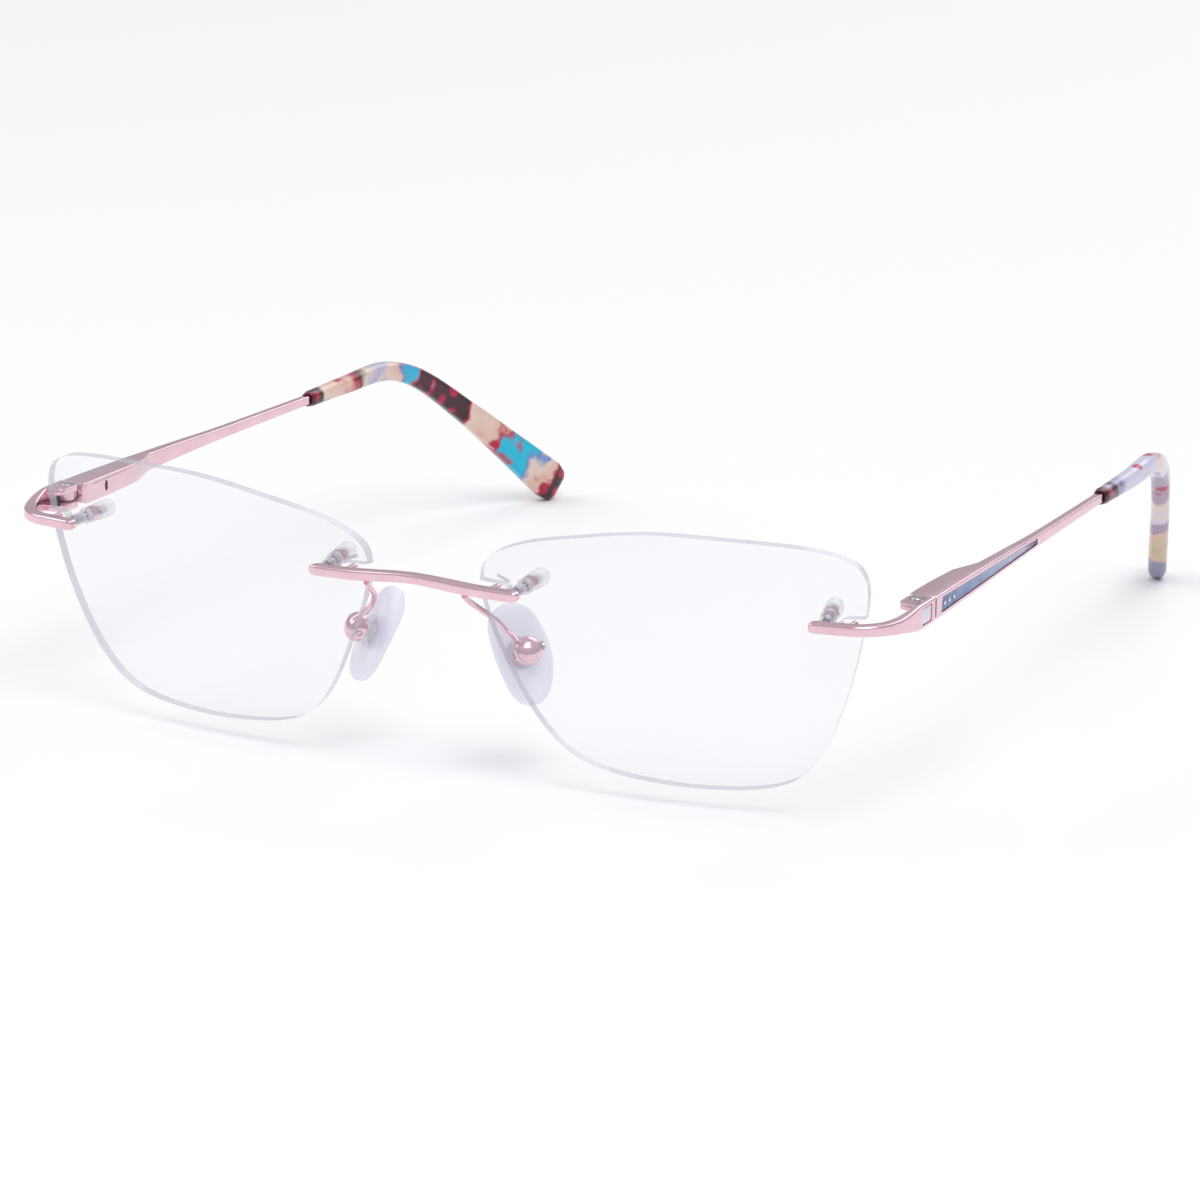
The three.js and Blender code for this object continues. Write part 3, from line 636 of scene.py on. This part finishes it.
def make_mount(place, mount, side):
    """The stack on one lens hole: threaded stud, washer, nut and bullet cap."""
    matrix = mount_matrix(mount)
    label = f"{place}_{side}"
    nut = softened(lathe(nut_profile(), 6), NUT["bevel"])
    stack = [
        (lathe(thread_profile(), 28), "threaded_stud", "stud", STEEL, "steel"),
        (lathe(sleeve_profile(), 40), "washer", "sleeve", CLEAR, "clear_plastic"),
        (nut, "lens_nut", "nut", ROSE, "rose_metal"),
        (lathe(cap_profile(), 40), "bullet_cap", "end_cap", CLEAR, "clear_plastic"),
    ]
    for shape, name, node, material, slot in stack:
        piece = assembled(f"{name}_{label}", [moved(shape, matrix)])
        finish_piece(piece, side, "front", f"{node}_{label}", material)


# ---- bridge and endpieces

def peg(mount):
    pin = lathe([(0, -0.4), (0.45, -0.4), (0.45, mount["reach"] - 0.1),
                 (0.35, mount["reach"]), (0, mount["reach"])], 24)
    return moved(pin, Matrix.Translation((mount["x"] + mount["peg"], mount["y"], 0)))


def make_bridge():
    half = [
        (BRIDGE_END, BRIDGE_Y + 0.05, 0, 0.7, 0.6),
        (BRIDGE_END - 0.12, BRIDGE_Y + 0.04, 0, 1.25, 1.0),
        (BRIDGE_END - 0.45, BRIDGE_Y + 0.02, 0, 1.62, 1.28),
        (BRIDGE_END - 1.0, BRIDGE_Y, 0, BAR_DEEP, BAR_TALL),
        (12.5, BRIDGE_Y, 0, BAR_DEEP, BAR_TALL),
        (9.5, BRIDGE_Y, 0.05, BAR_DEEP, BAR_TALL),
        (6.5, BRIDGE_Y - 0.1, 0.25, BAR_DEEP, BAR_TALL),
        (3.2, BRIDGE_Y - 0.25, BRIDGE_ARCH * 0.8, BAR_DEEP, BAR_TALL * 0.95),
        (0, BRIDGE_Y - 0.3, BRIDGE_ARCH, BAR_DEEP, BAR_TALL * 0.92),
    ]
    mirrored = [(-x, y, z, w, t) for x, y, z, w, t in reversed(half[:-1])]
    bar = loft(smooth([*half, *mirrored], per=5), 0.32)
    right_peg = moved(peg(MOUNTS["nasal"]), Matrix.Diagonal((-1, 1, 1, 1)))
    bridge = assembled("bridge_bar", [bar, peg(MOUNTS["nasal"]), right_peg])
    finish_piece(bridge, "left", "front", "bridge", ROSE)


def ear_outline():
    outline = [(BLOCK_X, HINGE.y - 3.7), (BLOCK_X, BLOCK_END - 0.2)]
    for k in range(25):
        angle = 1 + (math.pi - 1) * k / 24
        outline.append((HINGE.x + EAR_RADIUS * math.cos(angle),
                        HINGE.y + EAR_RADIUS * math.sin(angle)))
    start = Vector((HINGE.x - EAR_RADIUS, HINGE.y - 1.6))
    control = Vector((HINGE.x - EAR_RADIUS, HINGE.y - 3.2))
    end = Vector((HINGE.x, HINGE.y - 3.4))
    for k in range(11):
        t = k / 10
        point = start * (1 - t)**2 + control * 2 * t * (1 - t) + end * t**2
        outline.append(tuple(point))
    return outline


def upright(radius, low, high, sides=40):
    """A post along Z on the hinge axis."""
    post = lathe([(0, low), (radius, low), (radius, high), (0, high)], sides)
    moved(post, Matrix.Rotation(math.pi / 2, 4, "X"))
    return moved(post, Matrix.Translation(HINGE))


def make_endpiece(side):
    def bar(x, wide, tall):
        return (x, BAR_SPOT[1] + (x - BAR_SPOT[0]) * BAR_SLOPE, 0.05, wide, tall)

    path = [
        bar(55.6, 0.7, 0.6), bar(55.72, 1.25, 1.0), bar(56.0, 1.62, 1.28),
        bar(56.55, BAR_DEEP, BAR_TALL), bar(58.5, BAR_DEEP, BAR_TALL),
        bar(60.2, BAR_DEEP, BAR_TALL), bar(61.8, BAR_DEEP, BAR_TALL),
        (63.3, 0.95, 0.05, BAR_DEEP, 1.42), (64.8, 2.4, 0.05, 1.75, 1.52),
        (65.8, 4.4, 0.05, 1.6, 1.85), (66.35, 6.5, 0.05, 1.35, 2.5),
        (66.6, 8.2, HINGE.z, 1.1, 3.1), (BLOCK_X, 9.4, HINGE.z, BLOCK_WIDE, BLOCK_TALL),
        (BLOCK_X, 11.5, HINGE.z, BLOCK_WIDE, BLOCK_TALL),
        (BLOCK_X, BLOCK_END, HINGE.z, BLOCK_WIDE, BLOCK_TALL),
    ]
    arm = loft(smooth(path, per=4), 0.3)
    ears = []
    for low, high in ((EAR_INNER, EAR_OUTER), (-EAR_OUTER, -EAR_INNER)):
        plate = prism(ear_outline(), Matrix.Translation((0, 0, HINGE.z)), low, high)
        bmesh.ops.recalc_face_normals(plate, faces=plate.faces)
        ears.append(softened(plate, 0.12, 3, 60))
    outer = BLOCK_X + BLOCK_WIDE / 2
    outline = rounded_section(PANEL["end"] - PANEL["start"], PANEL["tall"], 0.45, 6)
    middle = Vector((0, (PANEL["start"] + PANEL["end"]) / 2, HINGE.z))
    facing = Matrix(((0, 0, 1, 0), (1, 0, 0, middle.y), (0, 1, 0, middle.z), (0, 0, 0, 1)))
    pocket = prism(outline, facing, outer - PANEL["deep"], outer + 1)
    cuts = [pocket, upright(PIN["hole"], -3, 3), upright(PIN["recess"], EAR_OUTER - 0.35, 3)]
    piece = assembled(f"endpiece_arm_{side}", [arm, *ears, peg(MOUNTS["temporal"])], cuts)
    finish_piece(piece, side, "front", f"endpiece_{side}", ROSE)

    gap = PANEL["gap"]
    inner = rounded_section(PANEL["end"] - PANEL["start"] - 2 * gap, PANEL["tall"] - 2 * gap,
                            0.38, 6)
    levels = [(1, outer - PANEL["deep"] + gap), (1, outer - 0.12), (0.93, outer - 0.04),
              (0.6, outer - 0.005)]
    plate = skin([[facing @ Vector((a * s, b * s, c)) for a, b in inner] for s, c in levels])
    finish_piece(assembled(f"pearl_panel_{side}", [plate]), side, "front",
                 f"endpiece_panel_{side}", PEARL, sharp=50)


# ---- hinge

def across_hinge(bm):
    """Turns a shape drawn along Y to stand along Z on the hinge axis."""
    return moved(bm, Matrix.Translation(HINGE) @ Matrix.Rotation(math.pi / 2, 4, "X"))


def make_hinge_screw(side):
    half = PIN["slot"]
    slot = block((-2, 2), (-half, half), (EAR_OUTER - 0.08, EAR_OUTER + 1))
    radius, tall = PIN["head"], PIN["tall"]
    head = lathe([(0, 0), (PIN["radius"], 0), (radius, 0), (radius, tall - 0.11),
                  (radius - 0.08, tall - 0.02), (0, tall)], 40)
    moved(head, Matrix.Rotation(math.pi / 2, 4, "X"))
    moved(head, Matrix.Translation(HINGE + Vector((0, 0, EAR_OUTER - PIN["sink"]))))
    shaft = upright(PIN["radius"], -EAR_OUTER, EAR_OUTER - 0.1)
    screw = assembled(f"hinge_pin_{side}", [shaft, head],
                      [moved(slot, Matrix.Translation(HINGE))])
    finish_piece(screw, side, f"{side}_hinge_screw", f"hinge_screw_{side}", STEEL)


def make_knuckle(side):
    radius, half, bevel = KNUCKLE["radius"], KNUCKLE["tall"] / 2, KNUCKLE["bevel"]
    eye = across_hinge(lathe([
        (0, -half), (radius - bevel, -half), (radius, bevel - half), (radius, half - bevel),
        (radius - bevel, half), (0, half),
    ], 40))
    flat = half - 0.005
    tongue = softened(block((-half, half), (0, KNUCKLE["tongue"]), (-flat, flat)), 0.08)
    moved(tongue, Matrix.Translation(HINGE))
    knuckle = assembled(f"knuckle_{side}", [eye, tongue], [upright(PIN["hole"], -2, 2)])
    finish_piece(knuckle, side, f"{side}_hinge_carrier", f"hinge_knuckle_{side}", ROSE)


def make_guide_rod(side):
    radius, head, bevel = ROD["radius"], ROD["head"], ROD["bevel"]
    start, shoulder, end = ROD["start"], ROD["head_start"], ROD["end"]
    rod = lathe([(0, start), (radius, start), (radius, shoulder), (head - bevel, shoulder),
                 (head, shoulder + bevel), (head, end - bevel), (head - bevel, end),
                 (0, end)], 28)
    moved(rod, Matrix.Translation((HINGE.x, 0, HINGE.z)))
    finish_piece(assembled(f"spring_rod_{side}", [rod]), side, f"{side}_hinge_carrier",
                 f"guide_rod_{side}", STEEL)


def make_spring(side):
    wire, steps = SPRING["wire"], SPRING["turns"] * 24
    rows = []
    for k in range(steps + 1):
        angle = 2 * math.pi * SPRING["turns"] * k / steps
        y = SPRING["start"] + (SPRING["end"] - SPRING["start"]) * k / steps
        out = Vector((math.cos(angle), 0, math.sin(angle)))
        centre = Vector((HINGE.x, y, HINGE.z)) + out * SPRING["radius"]
        rows.append([
            centre + out * wire * math.cos(a) + Vector((0, wire * math.sin(a), 0))
            for a in [j * math.pi / 4 for j in range(8)]
        ])
    finish_piece(assembled(f"coil_spring_{side}", [skin(rows)]), side,
                 f"{side}_hinge_carrier", f"hinge_spring_{side}", STEEL)


def make_hinge(side):
    make_hinge_screw(side)
    make_knuckle(side)
    make_guide_rod(side)
    make_spring(side)


# ---- temples

def outer_face(y):
    """X of the temple's leaning outer face."""
    return TEMPLE_OUTER - (y - TEMPLE_FRONT) * math.tan(TEMPLE_LEAN)


def temple_station(y, wide, tall, z):
    return (outer_face(y) - wide / 2, y, z, wide, tall)


# Local X runs back along the outer face, local Y up, and local Z out of it.
FACE = (Matrix.Translation((TEMPLE_OUTER, TEMPLE_FRONT, HINGE.z))
        @ Matrix.Rotation(TEMPLE_LEAN, 4, "Z")
        @ Matrix(((0, 0, 1, 0), (1, 0, 0, 0), (0, 1, 0, 0), (0, 0, 0, 1))))


def inlay_outline(shrink):
    half = INLAY["tall"] / 2 - shrink
    start, end = INLAY["start"] + shrink, INLAY["end"] - shrink
    low, high = INLAY["tip"][0] + shrink, INLAY["tip"][1] - shrink
    return [(start + 0.15, -half), (end - 0.2, low), (end, low + 0.15), (end, high - 0.1),
            (end - 0.3, high), (start + 0.55, half), (start + 0.3, half - 0.12),
            (start, -half + 0.15)]


def tip_curve(steps):
    """Points at these parts of the tip's length, from 0 to 1."""
    points = smooth(TIP_PATH, per=24)
    lengths = [0.0]
    for a, b in zip(points, points[1:]):
        lengths.append(lengths[-1] + math.dist(a, b))
    result = []
    for step in steps:
        goal = step * lengths[-1]
        i = max(k for k in range(len(lengths)) if lengths[k] <= goal + 1e-9)
        j = min(i + 1, len(points) - 1)
        t = 0 if j == i else (goal - lengths[i]) / (lengths[j] - lengths[i])
        result.append(tuple(a + (b - a) * t for a, b in zip(points[i], points[j])))
    return result


def channel(start, end, half):
    """A square passage along the temple, in line with the hinge."""
    return block((HINGE.x - half, HINGE.x + half), (start, end),
                 (HINGE.z - half, HINGE.z + half))


def make_temple(side):
    body = loft(smooth([
        temple_station(TEMPLE_FRONT, 3.5, 2.6, HINGE.z),
        temple_station(TEMPLE_FRONT + 0.3, 3.9, 2.98, HINGE.z),
        temple_station(TEMPLE_FRONT + 0.8, 4.0, 3.05, HINGE.z),
        temple_station(HOUSING_END - 7, 3.85, 3.0, 0),
        temple_station(HOUSING_END - 1, 3.55, 2.82, -0.05),
        temple_station(HOUSING_END + 0.6, 3.35, 2.78, -0.05),
        temple_station(HOUSING_END + 5.6, 1.85, 2.55, -0.1),
        temple_station(HOUSING_END + 7, 1.72, 2.48, -0.1),
        temple_station(44, 1.5, 2.1, -0.2),
        temple_station(54, 1.35, 1.65, -0.38),
        temple_station(68, 1.28, 1.42, -0.58),
        temple_station(TEMPLE_END - 0.6, 1.25, 1.3, -0.75),
    ], per=4), 0.2, direction=(0, 1, 0), arc=3)
    wire = [(*p, 0.8, 0.8) for p in tip_curve([0.0, 0.04, 0.08])]
    first = Vector(wire[0][:3]) - Vector((0, 2.4, 0))
    core = loft([(*first, 0.8, 0.8), *wire], 0.15)
    drop = lathe([(0, -4), (ACCESS["wide"], -4), (ACCESS["wide"], 0), (0, 0)], 32)
    moved(drop, Matrix.Rotation(-math.pi / 2, 4, "Z"))
    moved(drop, Matrix.Translation((HINGE.x, ACCESS["y"], HINGE.z))
          @ Matrix.Diagonal((1, 1, ACCESS["long"] / ACCESS["wide"], 1)))
    groove = block((61, outer_face(17) - 3.85), (16.2, 29.5), (1.0, 1.12))
    cuts = [
        channel(TEMPLE_FRONT - 1, NECK["start"], CHANNEL / 2),
        channel(NECK["end"], CHAMBER_END, CHANNEL / 2),
        channel(NECK["start"] - 0.5, NECK["end"] + 0.5, NECK["half"]),
        drop, prism(inlay_outline(0), FACE, -INLAY["deep"], 1), groove,
    ]
    piece = assembled(f"temple_arm_{side}", [body, core], cuts)
    finish_piece(piece, side, f"{side}_temple", f"temple_{side}", ROSE)
    make_inlay(side)


def make_inlay(side):
    """The blue wedge in the outer face, and the row of stones on it."""
    gap = INLAY["gap"]
    top = -INLAY["deep"] + gap + INLAY["thick"]
    plate = prism(inlay_outline(gap), FACE, -INLAY["deep"] + gap, top)
    bmesh.ops.recalc_face_normals(plate, faces=plate.faces)
    finish_piece(assembled(f"blue_inlay_{side}", [softened(plate, 0.05, 2, 50)]), side,
                 f"{side}_temple", f"temple_inlay_{side}", ENAMEL)
    for k in range(STONE["count"]):
        radius = STONE["radius"]
        gem = lathe([(0, -0.1), (radius * 0.7, -0.1), (radius, 0), (radius * 0.75, 0.12),
                     (radius * 0.4, 0.17), (0, 0.17)], 8)
        place = Matrix.Translation((STONE["first"] + k * STONE["step"], 0, top + 0.12))
        turn = Matrix.Rotation(math.pi / 2, 4, "X")
        finish_piece(assembled(f"gem_{k + 1}_{side}", [moved(gem, FACE @ place @ turn)]), side,
                     f"{side}_temple", f"stone_{k + 1}_{side}", STONE_LOOK, sharp=10)


def between(table, t):
    """The value at t in a table of (place, value) pairs."""
    for (t0, v0), (t1, v1) in zip(table, table[1:]):
        if t <= t1:
            return v0 + (v1 - v0) * (t - t0) / (t1 - t0)
    return table[-1][1]


def make_tip(side):
    talls = [(0, 2.1), (0.012, 2.4), (0.3, 2.9), (0.5, 3.2), (0.64, 3.7), (0.8, 4.9), (0.96, 6.3),
             (0.985, 5.8), (0.995, 5.1), (1, 4.2)]
    wides = [(0, 1.9), (0.012, 2.3), (0.3, 2.7), (0.96, 2.9), (0.985, 2.5), (0.995, 2.0),
             (1, 1.3)]
    steps = [0, 0.004, 0.012] + [0.02 + 0.94 * k / 46 for k in range(47)]
    steps += [0.972, 0.985, 0.992, 0.997, 1.0]
    stations = [(*p, between(wides, t), between(talls, t)) for p, t in zip(tip_curve(steps), steps)]
    sleeve = loft(stations, 1.0, arc=6)
    socket = block((-0.48, 0.48), (-1, 1.6), (-0.48, 0.48))
    moved(socket, Matrix.Translation(TIP_PATH[0]))
    tip = assembled(f"ear_tip_{side}", [sleeve], [socket])
    spine = [Vector(p) for p in tip_curve([k / 80 for k in range(81)])]
    along = tip.data.attributes.new("along", "FLOAT", "POINT")
    for vert, value in zip(tip.data.vertices, along.data):
        value.value = min(range(81), key=lambda k: (spine[k] - vert.co).length_squared) / 80
    finish_piece(tip, side, f"{side}_temple", f"temple_tip_{side}", acetate(side),
                 sharp=60)


# ---- nose pads

# Places the pad box, and turns a lathed shape so that its axis points outward.
PAD_MATRIX = Matrix.Translation(PAD_BOX) @ PAD_TURN.to_matrix().to_4x4()
OUTWARD = Matrix.Rotation(-math.pi / 2, 4, "Z")


def make_pad(side):
    arm = loft([(*p, 0.8, 0.8) for p in smooth(ARM_PATH, per=8)], 0.4, up=(1, 0, 0), arc=5)
    finish_piece(assembled(f"pad_wire_{side}", [arm]), side, "front", f"pad_arm_{side}", ROSE)
    make_pad_cup(side)
    make_pad_screw(side)
    make_soft_pad(side)


def along_screw(radius):
    """A cutter along the pad screw."""
    return lathe([(0, -3), (radius, -3), (radius, 3), (0, 3)], 28)


def placed_pad_piece(name, joined, cuts):
    piece = assembled(name, joined, cuts)
    piece.data.transform(PAD_MATRIX)
    return piece


def make_pad_cup(side):
    radius, rim, inner = PAD_CUP["radius"], PAD_CUP["rim"], PAD_CUP["inner"]
    angles = [k * math.pi / 20 for k in range(9, 0, -1)]
    dome = [(radius * math.cos(a), 0.1 + PAD_CUP["dome"] * math.sin(a)) for a in angles]
    cup = lathe([(0, PAD_CUP["dome"] + 0.1), *dome, (radius, 0), (radius, rim + 0.08),
                 (radius - 0.08, rim), (inner + 0.06, rim), (inner, rim + 0.06), (inner, 0.5),
                 (0, 0.8)], 48)
    box = placed_pad_piece(f"pad_cup_{side}", [moved(cup, OUTWARD)],
                           [along_screw(PAD_CUP["bore"])])
    finish_piece(box, side, "front", f"pad_box_{side}", ROSE)


def make_pad_screw(side):
    radius, head = PAD_SCREW["radius"], PAD_SCREW["head"]
    start, shoulder, end = PAD_SCREW["start"], PAD_SCREW["head_start"], PAD_SCREW["end"]
    screw = lathe([(0, start), (radius, start), (radius, shoulder), (head, shoulder),
                   (head, end - 0.08), (head - 0.08, end), (0, end)], 28)
    half = PAD_SCREW["slot"]
    slot = block((-1, 1), (end - 0.12, 3), (-half, half))
    piece = placed_pad_piece(f"pad_pin_{side}", [screw], [slot])
    finish_piece(piece, side, "front", f"pad_screw_{side}", STEEL)


def make_soft_pad(side):
    """The silicone pad and the hard insert that the screw goes through."""
    body = f"{side}_nose_pad"
    radius, half, bevel = PAD_CORE["radius"], PAD_CORE["half"], PAD_CORE["bevel"]
    disc = lathe([(0, -half), (radius - bevel, -half), (radius, bevel - half),
                  (radius, half - bevel), (radius - bevel, half), (0, half)], 40)
    moved(disc, Matrix.Translation((PAD_OFFSET, 0, 0)) @ OUTWARD)
    shank = softened(block((PAD_OFFSET, 0.35), (-0.7, 0.7), (-0.8, 0.8)), 0.12)
    core = placed_pad_piece(f"pad_insert_{side}", [disc, shank],
                            [along_screw(PAD_CUP["bore"])])
    finish_piece(core, side, body, f"pad_core_{side}", CLEAR)

    outline = smooth([(a, b, 0) for a, b in PAD_OUTLINE], per=6, closed=True)
    levels = []
    for k in range(13):
        angle = math.pi * (k / 12 - 0.5)
        levels.append((0.85 * (1 - math.cos(angle)), PAD_THICK / 2 * math.sin(angle)))
    rows = []
    for inset, depth in levels:
        row = []
        for a, b, _ in outline:
            arm_out = Vector((a, b))
            arm_out = arm_out.normalized() * (arm_out.length - inset)
            row.append(Vector((PAD_OFFSET + depth, arm_out.x, arm_out.y)))
        rows.append(row)
    wide, floor = radius + PAD_CORE["gap"], -half - PAD_CORE["gap"]
    pocket = lathe([(0, floor), (wide, floor), (wide, 3), (0, 3)], 40)
    moved(pocket, Matrix.Translation((PAD_OFFSET, 0, 0)) @ OUTWARD)
    pad = placed_pad_piece(f"silicone_pad_{side}", [skin(rows)], [pocket])
    finish_piece(pad, side, body, f"nose_pad_{side}", SILICONE, sharp=50)


# ---- stage, light, camera

def make_stage():
    bpy.ops.mesh.primitive_plane_add(size=8, location=(0, 0, 0))
    floor = bpy.context.object
    floor.name = "floor"
    material, _, _ = principled("floor", Roughness=0.9)
    material.node_tree.nodes["Principled BSDF"].inputs["Base Color"].default_value = (
        0.93, 0.93, 0.935, 1)
    floor.data.materials.append(material)


def area(name, place, size, power):
    """A square lamp that faces the glasses."""
    aim = Vector((0, 0, 0.02))
    data = bpy.data.lights.new(name, "AREA")
    data.size = size
    data.energy = power
    lamp = bpy.data.objects.new(name, data)
    lamp.location = place
    lamp.rotation_euler = (aim - Vector(place)).to_track_quat("-Z", "Y").to_euler()
    bpy.context.scene.collection.objects.link(lamp)


def make_light():
    world = bpy.data.worlds.new("studio")
    bpy.context.scene.world = world
    world.use_nodes = True
    tree = world.node_tree
    coords = tree.nodes.new("ShaderNodeTexCoord")
    height = tree.nodes.new("ShaderNodeSeparateXYZ")
    tree.links.new(coords.outputs["Generated"], height.inputs["Vector"])
    sky = ramp(tree, height.outputs["Z"],
               [(0.0, (0.48, 0.47, 0.49)), (0.25, (0.5, 0.49, 0.51)), (0.6, (0.62, 0.62, 0.64))])
    tree.links.new(sky.outputs["Color"], tree.nodes["Background"].inputs["Color"])
    area("key", (0.5, -0.6, 1.1), 0.7, 6.5)
    area("fill", (-0.8, -0.3, 0.7), 0.6, 2.2)
    area("back", (0.1, 0.9, 0.8), 0.8, 3)
    bpy.context.scene.view_settings.view_transform = "Standard"


CAMERA = dict(angles=(26.13, 15.86, 0.23), target=(25.08, 0, -0.54), distance=0.694, lens=157.6)


def make_camera():
    """A camera at azimuth, elevation and roll around its target."""
    azimuth, elevation, roll = (math.radians(a) for a in CAMERA["angles"])
    back = Vector((math.sin(azimuth) * math.cos(elevation),
                   -math.cos(azimuth) * math.cos(elevation), math.sin(elevation)))
    right = Vector((math.cos(azimuth), math.sin(azimuth), 0))
    up = back.cross(right)
    right, up = (right * math.cos(roll) + up * math.sin(roll),
                 up * math.cos(roll) - right * math.sin(roll))
    target = Vector(CAMERA["target"]) * MM + SHIFT
    data = bpy.data.cameras.new("camera")
    data.lens = CAMERA["lens"]
    data.sensor_width = 36
    camera = bpy.data.objects.new("camera", data)
    place = target + back * CAMERA["distance"]
    camera.matrix_world = Matrix((
        (right.x, up.x, back.x, place.x), (right.y, up.y, back.y, place.y),
        (right.z, up.z, back.z, place.z), (0, 0, 0, 1),
    ))
    bpy.context.scene.collection.objects.link(camera)
    bpy.context.scene.camera = camera


make_camera()
make_stage()
make_light()
make_bridge()
for side_name in SIDES:
    make_lens(side_name)
    for place_name, mount_data in MOUNTS.items():
        make_mount(place_name, mount_data, side_name)
    make_endpiece(side_name)
    make_hinge(side_name)
    make_temple(side_name)
    make_tip(side_name)
    make_pad(side_name)
